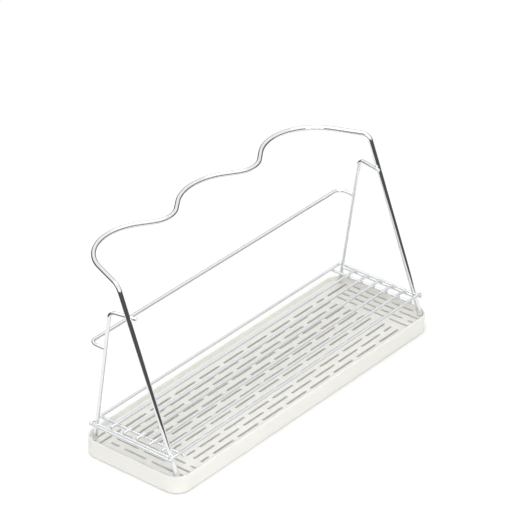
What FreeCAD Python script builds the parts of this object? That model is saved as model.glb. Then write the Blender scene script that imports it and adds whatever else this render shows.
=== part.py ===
import FreeCAD, Part
import math
import os

import Sketcher
from FreeCAD import Placement, Rotation, Vector

# A bottle and dish drying rack: a chrome-plated wire rack that stands in a white
# plastic drip tray.  +X runs along the tray, +Y is the back, +Z is up, and the
# origin is the middle of the tray's underside.  All lengths are millimetres.

os.makedirs("parts", exist_ok=True)
doc = FreeCAD.newDocument("dish_drying_rack")

# ---------------------------------------------------------------- driving sizes
SIZES = {
    # drip tray: a pan with a slotted plate dropped into it
    "tray_length": 404.0,
    "tray_width": 126.0,
    "tray_height": 20.0,
    "tray_corner": 17.0,
    "tray_wall": 1.5,
    "tray_floor": 2.0,
    "tray_foot_round": 2.5,
    "rim_round": 0.6,
    "ledge_width": 2.6,
    "plate_recess": 4.6,
    "plate_thick": 2.4,
    "plate_gap": 0.4,
    "plate_edge_round": 0.5,
    # slots of the drip plate, laid like bricks
    "slot_width": 2.8,
    "slot_gap": 6.2,
    "slot_row_pitch": 8.85,
    "slot_end_margin": 44.0,
    "end_slot_length": 28.4,
    "end_row_pitch": 9.1,
    "end_row_start": 11.1,
    "slot_margin": 4.5,
    # front frame: one thick wire, two leaning legs and the wavy top rail
    "frame_wire": 5.0,
    "foot_end_inset": 8.0,
    "front_foot_inset": 9.2,
    "front_lean": 20.8,
    "rail_height": 205.0,
    "rail_bend": 10.0,
    "bay_corner_inset": 40.9,
    "bay_corner_depth": 101.3,
    "bay_bend": 57.0,
    "divider_spacing": 129.0,
    "divider_corner_depth": 40.6,
    "divider_bend": 30.0,
    "middle_corner_depth": 85.0,
    "middle_bend": 64.0,
    # rear stand and rear rail: thinner wire
    "stand_wire": 4.0,
    "rear_foot_inset": 11.7,
    "rear_lean": 8.6,
    "stand_bend": 8.0,
    "arm_height": 171.5,
    "arm_tip": 3.0,
    "rear_rail_height": 127.0,
    "rear_rail_depth": 20.0,
    "rear_rail_bend": 8.0,
    # wire shelf: long wires on four side bars and two cross ties
    "shelf_wire": 3.0,
    "shelf_height": 38.4,
    "shelf_pitch": 16.2,
    "shelf_inner_wires": 5.0,
    "outer_wire_overhang": 5.0,
    "inner_wire_inset": 0.5,
    "end_tie_inset": 12.0,
    "tie_overhang": 2.8,
    "outer_bar_overhang": 3.0,
    # plastic caps on the feet
    "cap_wall": 0.6,
    "cap_length": 3.5,
    # fits
    "weld_gap": 0.05,
    "fit_gap": 0.08,
    "seat_gap": 0.05,
}

sheet = doc.addObject("Spreadsheet::Sheet", "Sizes")
for row, (alias, value) in enumerate(SIZES.items(), start=1):
    sheet.set("A%d" % row, alias)
    sheet.set("B%d" % row, "%g" % value)
    sheet.setAlias("B%d" % row, alias)
doc.recompute()


def size(alias):
    """The value of one cell of the sheet, in millimetres or degrees."""
    return float(sheet.get(alias))


# ------------------------------------------------- places worked out from sizes
plate_top = size("tray_height") - size("plate_recess")
plate_bottom = plate_top - size("plate_thick")
leg_x = size("tray_length") / 2 - size("foot_end_inset")
front_foot_y = size("front_foot_inset") - size("tray_width") / 2
rear_foot_y = size("tray_width") / 2 - size("rear_foot_inset")

frame_radius = size("frame_wire") / 2
stand_radius = size("stand_wire") / 2
shelf_radius = size("shelf_wire") / 2
front_cap_radius = frame_radius + size("fit_gap") + size("cap_wall")
rear_cap_radius = stand_radius + size("fit_gap") + size("cap_wall")

# Unit vectors up the two legs, in the plane x = const.
front_angle = math.radians(size("front_lean"))
rear_angle = math.radians(size("rear_lean"))
front_axis = Vector(0, math.sin(front_angle), math.cos(front_angle))
rear_axis = Vector(0, -math.sin(rear_angle), math.cos(rear_angle))

# The middles of the caps' ball ends, which stand on the drip plate.
front_foot_z = plate_top + size("seat_gap") + front_cap_radius
rear_foot_z = plate_top + size("seat_gap") + rear_cap_radius


def front_leg_point(side, height):
    """Point on the axis of a front leg at a height above the table."""
    rise = height - front_foot_z
    return Vector(side * leg_x, front_foot_y + rise * math.tan(front_angle), height)


def rear_leg_point(side, height):
    """Point on the axis of a rear leg at a height above the table."""
    rise = height - rear_foot_z
    return Vector(side * leg_x, rear_foot_y - rise * math.tan(rear_angle), height)


# The shelf in two layers: side bars and ties below, long wires on them.
layer_step = size("shelf_wire") + size("weld_gap")
long_z = size("shelf_height")
bar_z = long_z - layer_step

# The foremost wire lies against the front legs and the rearmost against the rear legs.
front_touch = (frame_radius + shelf_radius + size("weld_gap")) / math.cos(front_angle)
rear_touch = (stand_radius + shelf_radius + size("weld_gap")) / math.cos(rear_angle)
foremost_y = front_leg_point(1, long_z).y - front_touch
rearmost_y = rear_leg_point(1, long_z).y + rear_touch


# ------------------------------------------------------------- general helpers
def plane_of(body, role):
    """One of a body's own origin planes, by its role."""
    for feature in body.Origin.OriginFeatures:
        if feature.Role == role:
            return feature
    raise ValueError("no plane " + role)


def new_body(label):
    body = doc.addObject("PartDesign::Body", label)
    body.Label = label
    return body


def new_sketch(body, name, role, offset=0.0):
    """A sketch on an origin plane of its body, moved along the plane's normal."""
    sketch = body.newObject("Sketcher::SketchObject", name)
    sketch.AttachmentSupport = [(plane_of(body, role), "")]
    sketch.MapMode = "FlatFace"
    sketch.AttachmentOffset = Placement(Vector(0, 0, offset), Rotation())
    return sketch


def bind(sketch, constraint, name, expression):
    """Name a dimension of a sketch and tie it to the sheet."""
    sketch.renameConstraint(constraint, name)
    sketch.setExpression("Constraints." + name, expression)


def rounded_rectangle(sketch, length, width, radius):
    """A centred rectangle with round corners; the three sizes are expressions."""
    half_x, half_y, round_r = 60.0, 30.0, 8.0
    in_x, in_y = half_x - round_r, half_y - round_r
    lines = [
        (Vector(-in_x, -half_y), Vector(in_x, -half_y)),
        (Vector(half_x, -in_y), Vector(half_x, in_y)),
        (Vector(in_x, half_y), Vector(-in_x, half_y)),
        (Vector(-half_x, in_y), Vector(-half_x, -in_y)),
    ]
    centres = [
        Vector(in_x, -in_y),
        Vector(in_x, in_y),
        Vector(-in_x, in_y),
        Vector(-in_x, -in_y),
    ]
    for start, end in lines:
        sketch.addGeometry(Part.LineSegment(start, end), False)
    for quarter, centre in enumerate(centres):
        circle = Part.Circle(centre, Vector(0, 0, 1), round_r)
        first = (quarter - 1) * math.pi / 2
        sketch.addGeometry(Part.ArcOfCircle(circle, first, first + math.pi / 2), False)
    for corner in range(4):
        following = (corner + 1) % 4
        sketch.addConstraint(Sketcher.Constraint("Tangent", corner, 2, 4 + corner, 1))
        sketch.addConstraint(Sketcher.Constraint("Tangent", 4 + corner, 2, following, 1))
    for line in (0, 2):
        sketch.addConstraint(Sketcher.Constraint("Horizontal", line))
    for line in (1, 3):
        sketch.addConstraint(Sketcher.Constraint("Vertical", line))
    for arc in (5, 6, 7):
        sketch.addConstraint(Sketcher.Constraint("Equal", 4, arc))
    sketch.addConstraint(Sketcher.Constraint("Symmetric", 7, 3, 5, 3, -1, 1))
    span = sketch.addConstraint(Sketcher.Constraint("DistanceX", 3, 1, 1, 1, 2 * half_x))
    bind(sketch, span, "length", length)
    span = sketch.addConstraint(Sketcher.Constraint("DistanceY", 0, 1, 2, 1, 2 * half_y))
    bind(sketch, span, "width", width)
    span = sketch.addConstraint(Sketcher.Constraint("Radius", 4, round_r))
    bind(sketch, span, "corner", radius)


def pad(body, sketch, name, length):
    feature = body.newObject("PartDesign::Pad", name)
    feature.Profile = sketch
    feature.setExpression("Length", length)
    return feature


def pocket_down(body, sketch, name, depth):
    """A pocket cut downwards from a sketch; its volume is compared."""
    doc.recompute()
    before = body.Shape.Volume
    feature = body.newObject("PartDesign::Pocket", name)
    feature.Profile = sketch
    feature.setExpression("Length", depth)
    doc.recompute()
    if body.Shape.Volume > before - 1:
        raise ValueError(name + " cut nothing")
    return feature


def edges_at_height(shape, height):
    """Names of the edges that lie wholly at one height."""
    names = []
    for number, edge in enumerate(shape.Edges, start=1):
        box = edge.BoundBox
        if abs(box.ZMin - height) < 1e-4 and abs(box.ZMax - height) < 1e-4:
            names.append("Edge%d" % number)
    return names


def round_edges(body, base, name, height, radius):
    """Round every edge of a feature that lies at one height."""
    doc.recompute()
    feature = body.newObject("PartDesign::Fillet", name)
    feature.Base = (base, edges_at_height(base.Shape, height))
    feature.setExpression("Radius", radius)
    doc.recompute()
    return feature


# ---------------------------------------------------------------- bent wires
def rounded_path(points, radii):
    """Edges of a path of straight runs joined by tangent arcs.

    points are the corners in order; radii holds one bend radius for each corner
    between the first and the last point.
    """
    edges = []
    start = points[0]
    for before, corner, after, radius in zip(points, points[1:], points[2:], radii):
        back = (before - corner).normalize()
        ahead = (after - corner).normalize()
        half_turn = (math.pi - back.getAngle(ahead)) / 2
        reach = radius * math.tan(half_turn)
        entry = corner + back * reach
        leave = corner + ahead * reach
        inward = (back + ahead).normalize()
        middle = corner + inward * (radius / math.cos(half_turn) - radius)
        edges.append(Part.LineSegment(start, entry).toShape())
        edges.append(Part.Arc(entry, middle, leave).toShape())
        start = leave
    edges.append(Part.LineSegment(start, points[-1]).toShape())
    return edges


def bent_wire(label, edges, diameter):
    """A round wire swept along a path; diameter is the name of its size."""
    path = doc.addObject("Part::Feature", label + "_path")
    path.Shape = Part.Wire(edges)
    first = edges[0]
    tangent = first.tangentAt(first.FirstParameter)
    section = doc.addObject("Part::Circle", label + "_section")
    section.setExpression("Radius", "Sizes.%s / 2" % diameter)
    section.Placement = Placement(first.valueAt(first.FirstParameter), Rotation(Vector(0, 0, 1), tangent))
    wire = doc.addObject("Part::Sweep", label)
    wire.Label = label
    wire.Sections = [section]
    wire.Spine = (path, ["Edge%d" % (number + 1) for number in range(len(edges))])
    wire.Solid = True
    wire.Frenet = False
    doc.recompute()
    expected = math.pi * (size(diameter) / 2) ** 2 * path.Shape.Length
    if abs(wire.Shape.Volume / expected - 1) > 0.01:
        raise ValueError("%s: volume %.1f, expected %.1f" % (label, wire.Shape.Volume, expected))
    return wire


def straight_wire(label, diameter, start, end):
    """A straight cut length of round wire between two points."""
    rod = doc.addObject("Part::Cylinder", label)
    rod.Label = label
    rod.setExpression("Radius", "Sizes.%s / 2" % diameter)
    rod.Height = (end - start).Length
    rod.Placement = Placement(start, Rotation(Vector(0, 0, 1), end - start))
    return rod


# ------------------------------------------------------------------- drip tray
def make_tray_pan():
    """Moulded pan: upright wall, a ledge for the plate and a well for the water."""
    body = new_body("tray_pan")
    outline = new_sketch(body, "pan_outline", "XY_Plane")
    rounded_rectangle(outline, "Sizes.tray_length", "Sizes.tray_width", "Sizes.tray_corner")
    block = pad(body, outline, "pan_block", "Sizes.tray_height")
    round_edges(body, block, "pan_foot_round", 0.0, "Sizes.tray_foot_round")

    seat = new_sketch(body, "plate_seat_outline", "XY_Plane", size("tray_height"))
    rounded_rectangle(
        seat,
        "Sizes.tray_length - 2 * Sizes.tray_wall",
        "Sizes.tray_width - 2 * Sizes.tray_wall",
        "Sizes.tray_corner - Sizes.tray_wall",
    )
    pocket_down(body, seat, "plate_seat", "Sizes.plate_recess + Sizes.plate_thick")

    inset = "(Sizes.tray_wall + Sizes.ledge_width)"
    well = new_sketch(body, "water_well_outline", "XY_Plane", plate_bottom)
    rounded_rectangle(
        well,
        "Sizes.tray_length - 2 * " + inset,
        "Sizes.tray_width - 2 * " + inset,
        "Sizes.tray_corner - " + inset,
    )
    depth = "Sizes.tray_height - Sizes.plate_recess - Sizes.plate_thick - Sizes.tray_floor"
    hollow = pocket_down(body, well, "water_well", depth)
    round_edges(body, hollow, "rim_round_top", size("tray_height"), "Sizes.rim_round")
    return body


def add_slot(sketch, low, high, across, along_x):
    """One slot with round ends, from low to high, at a place across its row."""
    radius = size("slot_width") / 2
    first = low + radius
    last = high - radius

    def spot(along, side):
        if along_x:
            return Vector(along, across + side, 0)
        return Vector(across - side, along, 0)

    turn = 0 if along_x else math.pi / 2
    sketch.addGeometry(Part.LineSegment(spot(first, -radius), spot(last, -radius)), False)
    circle = Part.Circle(spot(last, 0), Vector(0, 0, 1), radius)
    sketch.addGeometry(Part.ArcOfCircle(circle, turn - math.pi / 2, turn + math.pi / 2), False)
    sketch.addGeometry(Part.LineSegment(spot(last, radius), spot(first, radius)), False)
    circle = Part.Circle(spot(first, 0), Vector(0, 0, 1), radius)
    sketch.addGeometry(Part.ArcOfCircle(circle, turn + math.pi / 2, turn + 3 * math.pi / 2), False)


def make_drip_plate():
    """Flat plate with slots in brick bond: long rows, and cross rows at both ends."""
    body = new_body("drip_plate")
    inset = "(Sizes.tray_wall + Sizes.plate_gap)"
    outline = new_sketch(body, "plate_outline", "XY_Plane", plate_bottom)
    rounded_rectangle(
        outline,
        "Sizes.tray_length - 2 * " + inset,
        "Sizes.tray_width - 2 * " + inset,
        "Sizes.tray_corner - " + inset,
    )
    blank = pad(body, outline, "plate_blank", "Sizes.plate_thick")
    round_edges(body, blank, "plate_edge_round", plate_top, "Sizes.plate_edge_round")

    gap = size("slot_gap")
    pitch = size("slot_row_pitch")
    half_field = size("tray_length") / 2 - size("slot_end_margin")
    bricks = 8
    period = (2 * half_field + gap) / (bricks + 0.5)
    brick = period - gap
    short = period / 2 - gap

    slots = new_sketch(body, "long_slots", "XY_Plane", plate_top)
    edge = size("tray_width") / 2 - size("tray_wall") - size("plate_gap") - size("slot_margin")
    last_row = int((edge - size("slot_width") / 2) / pitch)
    for row in range(-last_row, last_row + 1):
        y = row * pitch
        if row % 2:
            begin = -half_field
            add_slot(slots, half_field - short, half_field, y, True)
        else:
            begin = -half_field + period / 2
            add_slot(slots, -half_field, -half_field + short, y, True)
        for number in range(bricks):
            low = begin + number * period
            add_slot(slots, low, low + brick, y, True)

    # The two rows nearest the back run on to both ends of the plate.
    inner = half_field + gap
    for row, reach in ((last_row - 1, inner + brick), (last_row, inner + 0.8 * brick)):
        add_slot(slots, -reach, -inner, row * pitch, True)
        add_slot(slots, inner, reach, row * pitch, True)
    pocket_down(body, slots, "long_slot_cut", "Sizes.plate_thick")

    # Four cross rows at each end, every second one shifted by half a brick.
    ends = new_sketch(body, "end_slots", "XY_Plane", plate_top)
    length = size("end_slot_length")
    step = size("end_row_pitch")
    top = (last_row - 2) * pitch + size("slot_width") / 2
    bottom = -edge
    # The outermost row is shorter, to stay clear of the round corner.
    corner_bottom = bottom + size("tray_corner") - step
    for side in (-1, 1):
        for number in range(4):
            x = side * (half_field + size("end_row_start") + number * step)
            shifted = (number + (side < 0)) % 2 == 1
            floor = corner_bottom if number == 3 else bottom
            high = top
            if shifted:
                short_end = (length - gap) / 2
                add_slot(ends, high - short_end, high, x, False)
                high -= short_end + gap
            while high - length > floor:
                add_slot(ends, high - length, high, x, False)
                high -= length + gap
            if high - floor > 2 * size("slot_width"):
                add_slot(ends, floor, high, x, False)
    pocket_down(body, ends, "end_slot_cut", "Sizes.plate_thick")
    return body


# ----------------------------------------------------------------- front frame
def make_front_frame():
    """One wire: a leg, the wavy rail of three bays and two dividers, the other leg.

    The rail lies level.  Its corners are the points where the straight flanks
    would meet; each is rounded with its own bend radius.
    """
    height = size("rail_height")
    leg_y = front_leg_point(1, height).y
    divider_x = size("divider_spacing") / 2
    half = [
        (front_leg_point(-1, height), size("rail_bend")),
        (Vector(-leg_x + size("bay_corner_inset"), leg_y + size("bay_corner_depth"), height),
         size("bay_bend")),
        (Vector(-divider_x, leg_y + size("divider_corner_depth"), height), size("divider_bend")),
    ]
    other_half = [(Vector(-point.x, point.y, height), bend) for point, bend in reversed(half)]
    middle = (Vector(0, leg_y + size("middle_corner_depth"), height), size("middle_bend"))
    corners = half + [middle] + other_half
    lift = front_axis * size("weld_gap")
    points = [front_leg_point(-1, front_foot_z) + lift]
    points += [point for point, bend in corners]
    points.append(front_leg_point(1, front_foot_z) + lift)
    edges = rounded_path(points, [bend for point, bend in corners])
    return bent_wire("front_frame", edges, "frame_wire")


# ------------------------------------------------------------------ rear stand
def make_rear_leg(label, side):
    """A rear leg bent forward into a level arm, lapped on the inside of the front leg."""
    height = size("arm_height")
    corner = rear_leg_point(side, height)
    front_y = front_leg_point(side, height).y
    run = corner.y - front_y
    touch = frame_radius + stand_radius + size("weld_gap")
    # The arm turns inward a little, so its line clears the front leg's by the touch.
    inward = touch / math.cos(math.atan(touch / run))
    meet = Vector(side * (leg_x - inward), front_y, height)
    ahead = (meet - corner).normalize()
    tip = meet + ahead * (frame_radius + size("arm_tip"))
    foot = rear_leg_point(side, rear_foot_z) + rear_axis * size("weld_gap")
    return bent_wire(label, rounded_path([foot, corner, tip], [size("stand_bend")]), "stand_wire")


def make_rear_rail():
    """A wide U that stops cups and lids at the back, butt-welded to the rear legs."""
    height = size("rear_rail_height")
    leg_y = rear_leg_point(1, height).y
    # The leg leans, so the top of the rail's cut end comes nearest to it.
    lean_back = stand_radius * math.tan(rear_angle)
    front = leg_y + stand_radius / math.cos(rear_angle) + lean_back + size("weld_gap")
    back = leg_y + size("rear_rail_depth")
    points = [
        Vector(-leg_x, front, height),
        Vector(-leg_x, back, height),
        Vector(leg_x, back, height),
        Vector(leg_x, front, height),
    ]
    bend = size("rear_rail_bend")
    return bent_wire("rear_rail", rounded_path(points, [bend, bend]), "stand_wire")


# ----------------------------------------------------------------------- shelf
def make_side_bar(label, side):
    """A bar under the shelf's ends, cut to fit between the front and the rear leg.

    Both legs lean inward, so the top of each cut end comes nearest to its leg.
    """
    top = bar_z + shelf_radius
    front = front_leg_point(side, top).y + frame_radius / math.cos(front_angle) + size("weld_gap")
    back = rear_leg_point(side, top).y - stand_radius / math.cos(rear_angle) - size("weld_gap")
    x = side * leg_x
    return straight_wire(label, "shelf_wire", Vector(x, front, bar_z), Vector(x, back, bar_z))


def make_outer_bar(label, side):
    """A bar that passes outside both legs and carries the ends of the outer long wires."""
    x = side * (leg_x + frame_radius + shelf_radius + size("weld_gap"))
    front = Vector(x, foremost_y - size("outer_bar_overhang"), bar_z)
    back = Vector(x, rearmost_y + size("outer_bar_overhang"), bar_z)
    return straight_wire(label, "shelf_wire", front, back)


def make_shelf_wires():
    """Long wires: an evenly spaced set from the front legs, and one behind the rear legs."""
    between = int(size("shelf_inner_wires"))
    for number in range(between + 2):
        outer = number in (0, between + 1)
        reach = leg_x + (size("outer_wire_overhang") if outer else -size("inner_wire_inset"))
        y = foremost_y + number * size("shelf_pitch")
        if number == between + 1:
            y = rearmost_y
        straight_wire("shelf_wire_%d" % (number + 1), "shelf_wire",
                      Vector(-reach, y, long_z), Vector(reach, y, long_z))


def make_tie(label, x):
    """A cross wire under the shelf, from the foremost long wire to the rearmost."""
    front = Vector(x, foremost_y - size("tie_overhang"), bar_z)
    back = Vector(x, rearmost_y + size("tie_overhang"), bar_z)
    return straight_wire(label, "shelf_wire", front, back)


# ------------------------------------------------------------------- foot caps
def make_foot_cap(label, diameter, foot, axis):
    """A soft plastic cap with a ball end, pushed on the cut end of a leg.

    The profile is half of a section: a quarter circle below, an outer wall, and
    a bore that ends level with the middle of the ball.
    """
    body = new_body(label)
    bore = size(diameter) / 2 + size("fit_gap")
    outer = bore + size("cap_wall")
    length = size("cap_length")
    sketch = new_sketch(body, label + "_profile", "XZ_Plane")
    corners = [
        Vector(outer, 0, 0),
        Vector(outer, length, 0),
        Vector(bore, length, 0),
        Vector(bore, 0, 0),
        Vector(0, 0, 0),
        Vector(0, -outer, 0),
    ]
    for start, end in zip(corners, corners[1:]):
        sketch.addGeometry(Part.LineSegment(start, end), False)
    ball = Part.Circle(Vector(0, 0, 0), Vector(0, 0, 1), outer)
    sketch.addGeometry(Part.ArcOfCircle(ball, -math.pi / 2, 0), False)
    for line in range(4):
        sketch.addConstraint(Sketcher.Constraint("Coincident", line, 2, line + 1, 1))
    sketch.addConstraint(Sketcher.Constraint("Coincident", 4, 2, 5, 1))
    sketch.addConstraint(Sketcher.Constraint("Coincident", 5, 2, 0, 1))
    sketch.addConstraint(Sketcher.Constraint("Coincident", 5, 3, -1, 1))
    sketch.addConstraint(Sketcher.Constraint("Coincident", 3, 2, -1, 1))
    for line in (0, 2):
        sketch.addConstraint(Sketcher.Constraint("Vertical", line))
    sketch.addConstraint(Sketcher.Constraint("Vertical", 4))
    for line in (1, 3):
        sketch.addConstraint(Sketcher.Constraint("Horizontal", line))
    spread = sketch.addConstraint(Sketcher.Constraint("Radius", 5, outer))
    bind(sketch, spread, "outer", "Sizes.%s / 2 + Sizes.fit_gap + Sizes.cap_wall" % diameter)
    spread = sketch.addConstraint(Sketcher.Constraint("DistanceX", -1, 1, 2, 2, bore))
    bind(sketch, spread, "bore", "Sizes.%s / 2 + Sizes.fit_gap" % diameter)
    spread = sketch.addConstraint(Sketcher.Constraint("DistanceY", -1, 1, 1, 1, length))
    bind(sketch, spread, "tall", "Sizes.cap_length")
    turned = body.newObject("PartDesign::Revolution", label + "_turned")
    turned.Profile = sketch
    turned.ReferenceAxis = (sketch, ["V_Axis"])
    turned.Angle = 360
    body.Placement = Placement(foot, Rotation(Vector(0, 0, 1), axis))
    return body


make_tray_pan()
make_drip_plate()
make_front_frame()
make_rear_rail()
make_shelf_wires()
for hand, side in (("left", -1), ("right", 1)):
    make_rear_leg("rear_leg_" + hand, side)
    make_side_bar("side_bar_" + hand, side)
    make_outer_bar("outer_bar_" + hand, side)
    make_tie("end_tie_" + hand, side * (leg_x - size("end_tie_inset")))
    make_foot_cap("foot_cap_front_" + hand, "frame_wire", front_leg_point(side, front_foot_z), front_axis)
    make_foot_cap("foot_cap_rear_" + hand, "stand_wire", rear_leg_point(side, rear_foot_z), rear_axis)
doc.recompute()

# ------------------------------------------------------------ check and export
for item in doc.Objects:
    if "Invalid" in item.State or "Error" in item.State:
        raise ValueError(item.Name + " did not build: " + str(item.State))

sub_parts = [item for item in doc.Objects
             if item.TypeId in ("PartDesign::Body", "Part::Sweep", "Part::Cylinder")]
for item in sub_parts:
    if item.Shape.isNull() or not item.Shape.isValid() or len(item.Shape.Solids) != 1:
        raise ValueError(item.Label + " is not one valid solid")
for item in sub_parts:
    item.Shape.exportStep("parts/%s.step" % item.Label)
    box = item.Shape.optimalBoundingBox()
    print("%-22s volume %9.1f  x %7.1f..%6.1f  y %6.1f..%6.1f  z %6.1f..%6.1f" % (
        item.Label, item.Shape.Volume, box.XMin, box.XMax, box.YMin, box.YMax, box.ZMin, box.ZMax))
print(len(sub_parts), "sub-parts")
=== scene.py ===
import math

import bpy
import numpy as np
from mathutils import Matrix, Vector


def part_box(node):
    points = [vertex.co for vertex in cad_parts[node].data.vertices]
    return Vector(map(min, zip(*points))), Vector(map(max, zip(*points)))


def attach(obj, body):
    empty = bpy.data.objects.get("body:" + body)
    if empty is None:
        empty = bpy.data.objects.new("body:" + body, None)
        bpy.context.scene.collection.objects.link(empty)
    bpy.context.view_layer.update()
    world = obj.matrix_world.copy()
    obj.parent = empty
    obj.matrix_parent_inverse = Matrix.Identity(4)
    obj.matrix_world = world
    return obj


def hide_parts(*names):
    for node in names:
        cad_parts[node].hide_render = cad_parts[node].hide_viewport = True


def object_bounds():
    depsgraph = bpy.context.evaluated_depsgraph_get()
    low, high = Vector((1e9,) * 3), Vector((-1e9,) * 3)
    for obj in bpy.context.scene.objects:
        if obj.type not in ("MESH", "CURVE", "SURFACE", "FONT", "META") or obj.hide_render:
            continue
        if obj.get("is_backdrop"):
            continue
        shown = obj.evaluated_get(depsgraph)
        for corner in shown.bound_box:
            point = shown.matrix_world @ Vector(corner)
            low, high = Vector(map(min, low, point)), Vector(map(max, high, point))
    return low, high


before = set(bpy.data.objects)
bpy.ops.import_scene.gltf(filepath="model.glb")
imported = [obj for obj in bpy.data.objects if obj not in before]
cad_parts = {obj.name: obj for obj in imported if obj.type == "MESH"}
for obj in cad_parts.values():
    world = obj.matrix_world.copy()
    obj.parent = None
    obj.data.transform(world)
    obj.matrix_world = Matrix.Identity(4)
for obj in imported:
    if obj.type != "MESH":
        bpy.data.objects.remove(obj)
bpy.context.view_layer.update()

# A chrome-plated wire rack that stands in a white plastic drip tray.
# Lengths below are millimetres; M turns them into Blender's metres.
M = 0.001


# ------------------------------------------------------------------ small tools
def box_mm(node):
    """Lowest and highest corner of a CAD node, in millimetres."""
    low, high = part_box(node)
    return np.array(low) / M, np.array(high) / M


def rgb(code):
    """An sRGB hex colour as linear RGBA."""
    values = [int(code[i:i + 2], 16) / 255 for i in (1, 3, 5)]
    linear = [v / 12.92 if v <= 0.04045 else ((v + 0.055) / 1.055) ** 2.4 for v in values]
    return (*linear, 1.0)


def mesh_piece(name, vertices, faces, body, material, replaced=()):
    """A smooth mesh from arrays of vertices (mm) and faces, riding on a body."""
    mesh = bpy.data.meshes.new(name)
    mesh.from_pydata((np.asarray(vertices) * M).tolist(), [], [list(map(int, f)) for f in faces])
    mesh.polygons.foreach_set("use_smooth", np.ones(len(mesh.polygons), bool))
    mesh.materials.append(material)
    mesh.update()
    piece = bpy.data.objects.new(name, mesh)
    bpy.context.scene.collection.objects.link(piece)
    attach(piece, body)
    if replaced:
        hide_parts(*replaced)
    return piece


# -------------------------------------------------------------------- materials
def add(tree, kind, settings=None, links=None):
    """Adds a node; settings go to its sockets or properties, links join its inputs."""
    node = tree.nodes.new(kind)
    for key, value in (settings or {}).items():
        if key in node.inputs:
            node.inputs[key].default_value = value
        else:
            setattr(node, key, value)
    for key, source in (links or {}).items():
        tree.links.new(source, node.inputs[key])
    return node


def new_material(name):
    material = bpy.data.materials.new(name)
    material.use_nodes = True
    tree = material.node_tree
    shader = tree.nodes["Principled BSDF"]
    place = add(tree, "ShaderNodeTexCoord").outputs["Object"]
    return material, tree, shader, place


def chrome_plated_steel():
    """Bright chrome on drawn wire: a mirror with faint draw lines and a slight ripple.

    The ripple is what is left of the wire's drawing under the plate, about 9 mm long,
    and a thin film of dried water dulls the plate in spots about 6 mm across.
    """
    material, tree, shader, place = new_material("chrome_plated_steel_wire")
    ripple = add(tree, "ShaderNodeTexNoise", {"Scale": 110.0, "Detail": 2.0, "Roughness": 0.5},
                 {"Vector": place})
    spots = add(tree, "ShaderNodeTexNoise", {"Scale": 165.0, "Detail": 3.0, "Roughness": 0.6},
                {"Vector": place})
    dull = add(tree, "ShaderNodeMapRange", {"From Min": 0.45, "From Max": 0.75, "To Min": 0.035,
                                            "To Max": 0.10}, {"Value": spots.outputs["Fac"]})
    bump = add(tree, "ShaderNodeBump", {"Strength": 0.05, "Distance": 0.0003},
               {"Height": ripple.outputs["Fac"]})
    shader.inputs["Base Color"].default_value = rgb("#e2e4e6")
    shader.inputs["Metallic"].default_value = 1.0
    tree.links.new(dull.outputs["Result"], shader.inputs["Roughness"])
    tree.links.new(bump.outputs["Normal"], shader.inputs["Normal"])
    return material


def moulded_polypropylene(name, colour, shade, roughness):
    """White moulded polypropylene: satin, a fine spark-eroded grain and soft depth.

    The grain is 0.6 mm, drawn as coarse as it needs to show; the colour drifts a
    little over 60 mm, as thick and thin walls cool differently.
    """
    material, tree, shader, place = new_material(name)
    grain = add(tree, "ShaderNodeTexNoise", {"Scale": 1600.0, "Detail": 2.0, "Roughness": 0.55},
                {"Vector": place})
    drift = add(tree, "ShaderNodeTexNoise", {"Scale": 17.0, "Detail": 1.0, "Roughness": 0.4},
                {"Vector": place})
    tint = add(tree, "ShaderNodeMix", {"data_type": "RGBA"}, {"Factor": drift.outputs["Fac"]})
    colours = [s for s in tint.inputs if s.type == "RGBA"]
    colours[0].default_value = rgb(colour)
    colours[1].default_value = rgb(shade)
    tree.links.new([s for s in tint.outputs if s.type == "RGBA"][0], shader.inputs["Base Color"])
    gloss = add(tree, "ShaderNodeMapRange", {"From Min": 0.3, "From Max": 0.7,
                                             "To Min": roughness - 0.04, "To Max": roughness + 0.05},
                {"Value": grain.outputs["Fac"]})
    bump = add(tree, "ShaderNodeBump", {"Strength": 0.08, "Distance": 0.0001},
               {"Height": grain.outputs["Fac"]})
    shader.inputs["IOR"].default_value = 1.49
    # Light goes a few millimetres into the white plastic and softens the slots.
    shader.inputs["Subsurface Weight"].default_value = 0.45
    shader.inputs["Subsurface Radius"].default_value = (1.0, 0.97, 0.9)
    shader.inputs["Subsurface Scale"].default_value = 0.006
    tree.links.new(gloss.outputs["Result"], shader.inputs["Roughness"])
    tree.links.new(bump.outputs["Normal"], shader.inputs["Normal"])
    return material


CHROME = chrome_plated_steel()
TRAY_PLASTIC = moulded_polypropylene("moulded_white_polypropylene", "#f0efe9", "#ebe9e2", 0.42)
FOOT_PLASTIC = moulded_polypropylene("white_vinyl_foot_cap", "#eeeeea", "#e6e6e1", 0.3)


# ------------------------------------------------------------------------ wires
def rounded_route(corners, bends, step=1.2):
    """Points along straight runs joined by tangent arcs.

    At each inner corner an arc of the given bend radius starts where its tangent
    length, radius times the tangent of half the turn, has been cut off both runs;
    the arc is spaced by equal angles, about step millimetres apart.
    """
    corners = [np.array(c, float) for c in corners]
    route = [corners[0][None, :]]
    for before, corner, after, radius in zip(corners, corners[1:], corners[2:], bends):
        back = (before - corner) / np.linalg.norm(before - corner)
        ahead = (after - corner) / np.linalg.norm(after - corner)
        turn = math.pi - math.acos(float(np.clip(back @ ahead, -1, 1)))
        inward = (back + ahead) / np.linalg.norm(back + ahead)
        centre = corner + inward * radius / math.cos(turn / 2)
        start = corner + back * radius * math.tan(turn / 2) - centre
        count = max(6, int(radius * turn / step))
        angle = np.linspace(0, turn, count + 1)[:, None]
        side = ahead - (ahead @ start) / radius ** 2 * start
        side = side / np.linalg.norm(side) * radius
        heading = -back * radius
        route.append(centre + start * np.cos(angle) + heading * np.sin(angle))
    route.append(corners[-1][None, :])
    return np.vstack(route)


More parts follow.
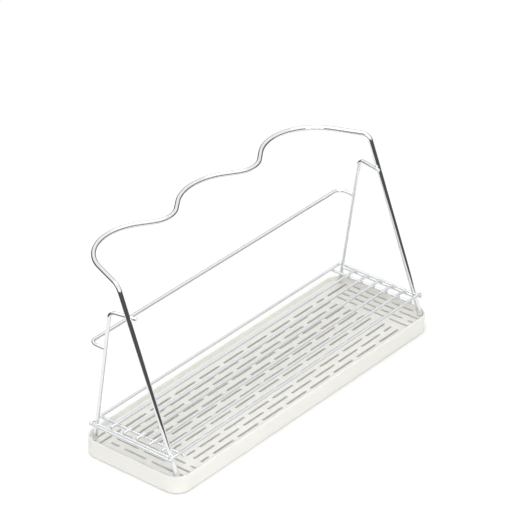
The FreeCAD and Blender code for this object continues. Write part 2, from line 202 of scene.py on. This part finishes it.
def wire_mesh(route, radius, sides=20, end_round=0.35):
    """Vertices and faces of a round wire along a route, with rounded cut ends.

    A ring of points is carried along the route by the least turn from one tangent
    to the next.  At both ends the ring shrinks along a quarter circle of
    end_round and closes in a flat disc, as a sheared and tumbled wire does.
    """
    route = np.asarray(route, float)
    span = np.diff(route, axis=0)
    length = np.linalg.norm(span, axis=1)
    span = span / length[:, None]
    tangent = np.vstack([span[:1], span[:-1] + span[1:], span[-1:]])
    tangent = tangent / np.linalg.norm(tangent, axis=1)[:, None]
    normal = np.cross(tangent[0], [0.31, 0.22, 0.93])
    normal = normal / np.linalg.norm(normal)
    normals = [normal]
    for t in tangent[1:]:
        normal = normal - (normal @ t) * t
        normal = normal / np.linalg.norm(normal)
        normals.append(normal)
    normals = np.array(normals)
    quarter = np.linspace(0, math.pi / 2, 5)
    head = route[0] + tangent[0] * (end_round - end_round * np.sin(quarter))[:, None]
    tail = route[-1] - tangent[-1] * (end_round - end_round * np.sin(quarter))[:, None]
    ring_radius = radius - end_round + end_round * np.cos(quarter)
    centres = np.vstack([head[::-1], route[1:-1], tail])
    radii = np.concatenate([ring_radius[::-1], np.full(len(route) - 2, radius), ring_radius])
    along = np.vstack([np.repeat(tangent[:1], 5, 0), tangent[1:-1], np.repeat(tangent[-1:], 5, 0)])
    first_normals = np.vstack([np.repeat(normals[:1], 5, 0), normals[1:-1],
                               np.repeat(normals[-1:], 5, 0)])
    second_normals = np.cross(along, first_normals)
    angle = np.linspace(0, 2 * math.pi, sides, endpoint=False)
    ring = (first_normals[:, None, :] * np.cos(angle)[None, :, None]
            + second_normals[:, None, :] * np.sin(angle)[None, :, None])
    points = centres[:, None, :] + ring * radii[:, None, None]
    rings = len(centres)
    vertices = points.reshape(-1, 3)
    i = np.arange(rings - 1)[:, None] * sides
    j = np.arange(sides)[None, :]
    k = (j + 1) % sides
    faces = np.stack([i + j, i + k, i + sides + k, i + sides + j], -1).reshape(-1, 4).tolist()
    faces.append(list(range(sides))[::-1])
    faces.append(list(range((rings - 1) * sides, rings * sides)))
    return vertices, faces


def wire(name, route, radius, **shape):
    vertices, faces = wire_mesh(route, radius, **shape)
    return mesh_piece(name + "_wire", vertices, faces, "rack", CHROME, [name])


def straight(low, high, pieces=24):
    """Points of a straight run, evenly spaced."""
    return np.linspace(np.array(low, float), np.array(high, float), pieces + 1)


# Sizes shared with the CAD model.
FRAME_WIRE, STAND_WIRE, SHELF_WIRE = 5.0, 4.0, 3.0
FRONT_LEAN, REAR_LEAN = math.radians(20.8), math.radians(8.6)
WELD_GAP = 0.05
CAP_WALL, FIT_GAP = 0.6, 0.08
TRAY_WALL, TRAY_FLOOR, TRAY_CORNER = 1.5, 2.0, 17.0
LEDGE_WIDTH = 2.6

LEG_X = 194.0
RAIL_HEIGHT, ARM_HEIGHT, REAR_RAIL_HEIGHT = 205.0, 171.5, 127.0
FRONT_FOOT, REAR_FOOT = 53.8, 51.3
DIVIDER_X = 64.5
STAND_BEND, ARM_TIP = 8.0, 3.0

tray_low, tray_high = box_mm("tray_pan")
plate_low, plate_high = box_mm("drip_plate")
FRONT_BALL = plate_high[2] + WELD_GAP + FRAME_WIRE / 2 + FIT_GAP + CAP_WALL
REAR_BALL = plate_high[2] + WELD_GAP + STAND_WIRE / 2 + FIT_GAP + CAP_WALL


def front_leg(side, height):
    """Point on the axis of a front leg, which leans back by FRONT_LEAN."""
    return np.array([side * LEG_X, (height - FRONT_BALL) * math.tan(FRONT_LEAN) - FRONT_FOOT, height])


def rear_leg(side, height):
    """Point on the axis of a rear leg, which leans forward by REAR_LEAN."""
    return np.array([side * LEG_X, REAR_FOOT - (height - REAR_BALL) * math.tan(REAR_LEAN), height])


# The front frame: corners of its legs and of the level, wavy rail, and their bends.
half = [
    (front_leg(-1, RAIL_HEIGHT), 10.0),
    (front_leg(-1, RAIL_HEIGHT) + [40.9, 101.3, 0], 57.0),
    (np.array([-DIVIDER_X, front_leg(-1, RAIL_HEIGHT)[1] + 40.6, RAIL_HEIGHT]), 30.0),
]
middle = (np.array([0, front_leg(-1, RAIL_HEIGHT)[1] + 85.0, RAIL_HEIGHT]), 64.0)
corners = half + [middle] + [(c * [-1, 1, 1], bend) for c, bend in reversed(half)]
front_axis = np.array([0, math.sin(FRONT_LEAN), math.cos(FRONT_LEAN)])
rear_axis = np.array([0, -math.sin(REAR_LEAN), math.cos(REAR_LEAN)])
feet = [front_leg(side, FRONT_BALL) + front_axis * WELD_GAP for side in (-1, 1)]
wire("front_frame", rounded_route([feet[0]] + [c for c, _ in corners] + [feet[1]],
                                  [bend for _, bend in corners]), FRAME_WIRE / 2, sides=28)

# The rear legs, each bent forward into an arm that is lapped on the front leg.
touch = (FRAME_WIRE + STAND_WIRE) / 2 + WELD_GAP
arm_welds = []
for hand, side in (("left", -1), ("right", 1)):
    corner = rear_leg(side, ARM_HEIGHT)
    front_y = front_leg(side, ARM_HEIGHT)[1]
    inward = touch / math.cos(math.atan(touch / (corner[1] - front_y)))
    meet = np.array([side * (LEG_X - inward), front_y, ARM_HEIGHT])
    ahead = (meet - corner) / np.linalg.norm(meet - corner)
    tip = meet + ahead * (FRAME_WIRE / 2 + ARM_TIP)
    foot = rear_leg(side, REAR_BALL) + rear_axis * WELD_GAP
    wire("rear_leg_" + hand, rounded_route([foot, corner, tip], [STAND_BEND]), STAND_WIRE / 2, sides=24)
    share = (FRAME_WIRE / 2) / touch
    arm_welds.append((front_leg(side, ARM_HEIGHT) * (1 - share) + meet * share, (0, 1, 0.4), 2.3, 1.3))

# The rear rail, a wide U between the rear legs.
rail_y = box_mm("rear_rail")[0][1], box_mm("rear_rail")[1][1] - STAND_WIRE / 2
rail_route = [(side * LEG_X, rail_y[end], REAR_RAIL_HEIGHT)
              for side, end in ((-1, 0), (-1, 1), (1, 1), (1, 0))]
wire("rear_rail", rounded_route(rail_route, [STAND_BEND, STAND_BEND]), STAND_WIRE / 2, sides=24)

# The straight wires of the shelf, each where its CAD node is.
SHELF = ["shelf_wire_%d" % number for number in range(1, 8)]
LOWER = [name + hand for name in ("side_bar_", "outer_bar_", "end_tie_")
         for hand in ("left", "right")]
for node in SHELF + LOWER:
    low, high = box_mm(node)
    axis = int(np.argmax(high - low))
    start, end = (low + high) / 2, (low + high) / 2
    start[axis], end[axis] = low[axis], high[axis]
    wire(node, straight(start, end), SHELF_WIRE / 2, sides=18)


# ------------------------------------------------------------------------ welds
def blob(centre, along, long_radius, thick_radius, rings=6, sides=10):
    """A weld nugget: an ellipsoid, long_radius in two directions and thin in the third.

    Points are long_radius * sin(t) * cos(p), long_radius * sin(t) * sin(p) and
    thick_radius * cos(t) on a frame whose third axis is along.
    """
    along = np.array(along, float) / np.linalg.norm(along)
    first = np.cross(along, [0.3, 0.9, 0.2])
    first = first / np.linalg.norm(first)
    second = np.cross(along, first)
    t = np.linspace(0, math.pi, rings + 1)[1:-1][:, None, None]
    p = np.linspace(0, 2 * math.pi, sides, endpoint=False)[None, :, None]
    ring = long_radius * np.sin(t) * (np.cos(p) * first + np.sin(p) * second)
    ring = ring + thick_radius * np.cos(t) * along
    points = np.vstack([ring.reshape(-1, 3), [thick_radius * along], [-thick_radius * along]]) + centre
    faces = []
    for r in range(rings - 2):
        for k in range(sides):
            following = (k + 1) % sides
            low, high = r * sides, (r + 1) * sides
            faces.append([low + k, high + k, high + following, low + following])
    top, bottom = (rings - 1) * sides, (rings - 1) * sides + 1
    last = (rings - 2) * sides
    for k in range(sides):
        following = (k + 1) % sides
        faces.append([top, k, following])
        faces.append([bottom, last + following, last + k])
    return points, faces


def welds(name, spots):
    """One piece of many nuggets; spots hold centre, flat direction, and two radii."""
    vertices, faces, count = [], [], 0
    for centre, along, long_radius, thick_radius in spots:
        points, shape = blob(np.array(centre, float), along, long_radius, thick_radius)
        vertices.append(points)
        faces.extend([[v + count for v in face] for face in shape])
        count += len(points)
    return mesh_piece(name, np.vstack(vertices), faces, "rack", CHROME)


# A crossing of two shelf wires: the nugget's two radii, and how far it stays
# from a wire's cut end.
CROSSING, END_MARGIN = (1.45, 0.7), 1.4

spots = []
for node in SHELF:
    low, high = box_mm(node)
    y = (low[1] + high[1]) / 2
    for other in LOWER:
        other_low, other_high = box_mm(other)
        if not other_low[1] <= y <= other_high[1]:
            continue
        x = (other_low[0] + other_high[0]) / 2
        if abs(x) < high[0]:
            x = min(max(x, low[0] + END_MARGIN), high[0] - END_MARGIN)
            spots.append(((x, y, low[2]), (0, 0, 1), *CROSSING))
welds("shelf_welds", spots)

# Where the shelf and the rear rail meet the legs.
LEG_TOUCHES = (("shelf_wire_1", front_leg, FRAME_WIRE / 2), ("shelf_wire_7", rear_leg, STAND_WIRE / 2))
ACROSS, OUTWARD = (0, 1, 0), (1, 0, 0)

spots = list(arm_welds)
for side in (-1, 1):
    for node, leg, radius in LEG_TOUCHES:
        low, high = box_mm(node)
        z = (low[2] + high[2]) / 2
        y = (low[1] + high[1]) / 2
        axis_y = leg(side, z)[1]
        between = axis_y + (y - axis_y) * radius / (radius + SHELF_WIRE / 2)
        spots.append(((side * LEG_X, between, z), ACROSS, 1.9, 0.9))
    low, high = box_mm("side_bar_left")
    z = (low[2] + high[2]) / 2
    front_x, rear_x = LEG_X + FRAME_WIRE / 2, LEG_X + STAND_WIRE / 2 + 0.3
    spots.append(((side * LEG_X, low[1] - 0.3, z), ACROSS, 1.9, 0.8))
    spots.append(((side * LEG_X, high[1] + 0.3, z), ACROSS, 1.8, 0.8))
    spots.append(((side * LEG_X, rail_y[0] - 0.2, REAR_RAIL_HEIGHT), ACROSS, 2.3, 0.9))
    spots.append(((side * front_x, front_leg(side, z)[1], z), OUTWARD, 1.9, 0.8))
    spots.append(((side * rear_x, rear_leg(side, z)[1], z), OUTWARD, 1.8, 0.8))
welds("leg_welds", spots)


# --------------------------------------------------------------- turned and moulded
def turned(name, profile, centre, axis, material, node, sides=32):
    """A profile of (radius, height) points turned about an axis through centre."""
    axis = np.array(axis, float)
    first = np.cross(axis, [1.0, 0.0, 0.0])
    first = first / np.linalg.norm(first)
    second = np.cross(axis, first)
    angle = np.linspace(0, 2 * math.pi, sides, endpoint=False)[None, :, None]
    profile = np.array(profile, float)
    inner = profile[1:-1]
    ring = inner[:, 0][:, None, None] * (np.cos(angle) * first + np.sin(angle) * second)
    ring = ring + inner[:, 1][:, None, None] * axis
    points = np.vstack([ring.reshape(-1, 3), [profile[0, 1] * axis], [profile[-1, 1] * axis]]) + centre
    rows = len(inner)
    faces = []
    for r in range(rows - 1):
        for k in range(sides):
            following = (k + 1) % sides
            low, high = r * sides, (r + 1) * sides
            faces.append([low + k, low + following, high + following, high + k])
    for k in range(sides):
        following = (k + 1) % sides
        faces.append([rows * sides, following, k])
        faces.append([rows * sides + 1, (rows - 1) * sides + k, (rows - 1) * sides + following])
    return mesh_piece(name, points, faces, "rack", material, [node])


def foot_cap(end, hand, centre, axis, wire_radius):
    """A soft cap: half a ball, a straight wall, a rounded lip and the bore."""
    bore = wire_radius + FIT_GAP
    outer = bore + CAP_WALL
    length, lip = 3.5, 0.25
    ball = [(outer * math.sin(t), -outer * math.cos(t)) for t in np.linspace(0, math.pi / 2, 12)]
    edge = [(outer - lip + lip * math.cos(t), length - lip + lip * math.sin(t))
            for t in np.linspace(0, math.pi / 2, 5)]
    profile = ball + edge + [(bore, length), (bore, 0.0), (0.0, 0.0)]
    node = "foot_cap_%s_%s" % (end, hand)
    return turned(node + "_moulded", profile, centre, axis, FOOT_PLASTIC, node)


for hand, side in (("left", -1), ("right", 1)):
    foot_cap("front", hand, front_leg(side, FRONT_BALL), front_axis, FRAME_WIRE / 2)
    foot_cap("rear", hand, rear_leg(side, REAR_BALL), rear_axis, STAND_WIRE / 2)


def rounded_rings(profile, half_x, half_y, corner, per_corner=14):
    """Rings of a rounded rectangle, one for each (inset, height) of a profile.

    Each ring is the outline moved inward by inset: a quarter circle of radius
    corner - inset about each corner's centre, so the rings share their centres.
    """
    quarter = np.linspace(0, math.pi / 2, per_corner + 1)
    angle = np.concatenate([quarter + k * math.pi / 2 for k in range(4)])
    sign_x = np.repeat([1, -1, -1, 1], per_corner + 1)
    sign_y = np.repeat([1, 1, -1, -1], per_corner + 1)
    rings = []
    for inset, height in profile:
        radius = corner - inset
        x = sign_x * (half_x - corner) + radius * np.cos(angle)
        y = sign_y * (half_y - corner) + radius * np.sin(angle)
        rings.append(np.stack([x, y, np.full_like(x, height)], -1))
    return np.array(rings)


def moulded_pan():
    """The pan: one profile carried round a rounded rectangle, floors closed by flat faces."""
    half_x, half_y = tray_high[0], tray_high[1]
    top = tray_high[2]
    seat = plate_low[2]
    foot, rim, inner_rim, corner_round = 2.5, 0.6, 0.6, 1.2
    quarter = np.linspace(0, math.pi / 2, 7)
    profile = [(foot - foot * math.sin(t), foot - foot * math.cos(t)) for t in quarter]
    profile += [(rim - rim * math.cos(t), top - rim + rim * math.sin(t)) for t in quarter]
    inner_wall = TRAY_WALL - inner_rim
    profile += [(inner_wall + inner_rim * math.sin(t), top - inner_rim + inner_rim * math.cos(t))
                for t in quarter]
    well, chamfer = TRAY_WALL + LEDGE_WIDTH, 0.4
    profile += [(TRAY_WALL, seat), (well - chamfer, seat), (well, seat - chamfer)]
    profile += [(well + corner_round - corner_round * math.cos(t),
                 TRAY_FLOOR + corner_round - corner_round * math.sin(t)) for t in quarter]
    rings = rounded_rings(profile, half_x, half_y, TRAY_CORNER)
    count, around = rings.shape[:2]
    i = np.arange(count - 1)[:, None] * around
    j = np.arange(around)[None, :]
    k = (j + 1) % around
    faces = np.stack([i + j, i + k, i + around + k, i + around + j], -1).reshape(-1, 4).tolist()
    faces.append(list(range(around))[::-1])
    faces.append(list(range((count - 1) * around, count * around)))
    return mesh_piece("tray_pan_moulded", rings.reshape(-1, 3), faces, "tray", TRAY_PLASTIC,
                      ["tray_pan"])


moulded_pan()

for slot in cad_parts["drip_plate"].material_slots:
    slot.material = TRAY_PLASTIC


# -------------------------------------------------------------- floor and light
def stage_floor():
    """A flat floor just under the tray; past its edge the chrome mirrors the dark horizon."""
    mesh = bpy.data.meshes.new("floor")
    reach, level = 0.42, -0.0002
    mesh.from_pydata([(-reach, -reach, level), (reach, -reach, level), (reach, reach, level),
                      (-reach, reach, level)], [], [(0, 1, 2, 3)])
    floor = bpy.data.objects.new("floor", mesh)
    bpy.context.scene.collection.objects.link(floor)
    material, tree, shader, place = new_material("pale_studio_floor")
    shader.inputs["Base Color"].default_value = rgb("#fbfbfb")
    shader.inputs["Roughness"].default_value = 0.9
    mesh.materials.append(material)
    floor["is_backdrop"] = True


stage_floor()


def soft_light(name, place, target, width, height, power):
    """An area light at a place, turned to a target."""
    data = bpy.data.lights.new(name, "AREA")
    data.shape = "RECTANGLE"
    data.size, data.size_y = width, height
    data.energy = power
    lamp = bpy.data.objects.new(name, data)
    bpy.context.scene.collection.objects.link(lamp)
    lamp.location = place
    lamp.rotation_euler = (Vector(target) - Vector(place)).to_track_quat("-Z", "Y").to_euler()
    return lamp


def studio_world():
    """A light tent: bright above, dark round the horizon, plain white to the camera.

    The tent's brightness is a ramp of the height of the direction looked at.  The
    dark band is what draws thin dark lines down the chromed wires.
    """
    world = bpy.data.worlds.new("studio")
    bpy.context.scene.world = world
    world.use_nodes = True
    tree = world.node_tree
    tree.nodes.clear()
    place = add(tree, "ShaderNodeTexCoord")
    split = add(tree, "ShaderNodeSeparateXYZ", {}, {"Vector": place.outputs["Generated"]})
    height = add(tree, "ShaderNodeMapRange", {"From Min": -1.0}, {"Value": split.outputs["Z"]})
    ramp = add(tree, "ShaderNodeValToRGB", {}, {"Fac": height.outputs["Result"]})
    stops = ramp.color_ramp.elements
    for stop, (position, value) in zip(stops, TENT[:2]):
        stop.position, stop.color = position, (value, value, value, 1)
    for position, value in TENT[2:]:
        stops.new(position).color = (value, value, value, 1)
    ray = add(tree, "ShaderNodeLightPath")
    strength = add(tree, "ShaderNodeMapRange", {"To Min": TENT_STRENGTH, "To Max": TENT_IN_MIRROR},
                   {"Value": ray.outputs["Is Glossy Ray"]})
    tent = add(tree, "ShaderNodeBackground", {}, {"Color": ramp.outputs["Color"],
                                                  "Strength": strength.outputs["Result"]})
    backdrop = add(tree, "ShaderNodeBackground", {"Color": (1, 1, 1, 1), "Strength": 1.0})
    both = add(tree, "ShaderNodeMixShader", {}, {"Fac": ray.outputs["Is Camera Ray"]})
    tree.links.new(tent.outputs["Background"], both.inputs[1])
    tree.links.new(backdrop.outputs["Background"], both.inputs[2])
    add(tree, "ShaderNodeOutputWorld", {}, {"Surface": both.outputs["Shader"]})


# Heights from 0, straight down, to 1, straight up, and how bright the tent is there.
TENT = [(0.0, 0.085), (1.0, 1.0), (0.57, 0.085), (0.615, 0.6), (0.68, 0.92)]
# The tent lights the scene at one strength and shows brighter in the chrome.
TENT_STRENGTH, TENT_IN_MIRROR = 0.8, 1.15

studio_world()
soft_light("overhead", (0.1, 0.25, 1.7), (0, 0, 0.05), 1.6, 1.2, 10.5)
soft_light("left_front", (-1.5, -1.5, 1.15), (0, 0, 0.03), 1.5, 0.9, 20)

bpy.context.scene.view_settings.view_transform = "Standard"


# ----------------------------------------------------------------------- camera
def make_camera():
    """A long lens, high on the left in front of the rack."""
    data = bpy.data.cameras.new("camera")
    data.sensor_width = 36.0
    data.lens = 239.6
    camera = bpy.data.objects.new("camera", data)
    bpy.context.scene.collection.objects.link(camera)
    camera.location = (-2.2465, -1.8354, 1.8671)
    turn, tilt = math.radians(50.646), math.radians(30.544)
    aim = Vector((math.sin(turn) * math.cos(tilt), math.cos(turn) * math.cos(tilt), -math.sin(tilt)))
    camera.rotation_euler = aim.to_track_quat("-Z", "Y").to_euler()
    data.clip_start, data.clip_end = 0.1, 50.0
    bpy.context.scene.camera = camera


make_camera()

low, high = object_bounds()
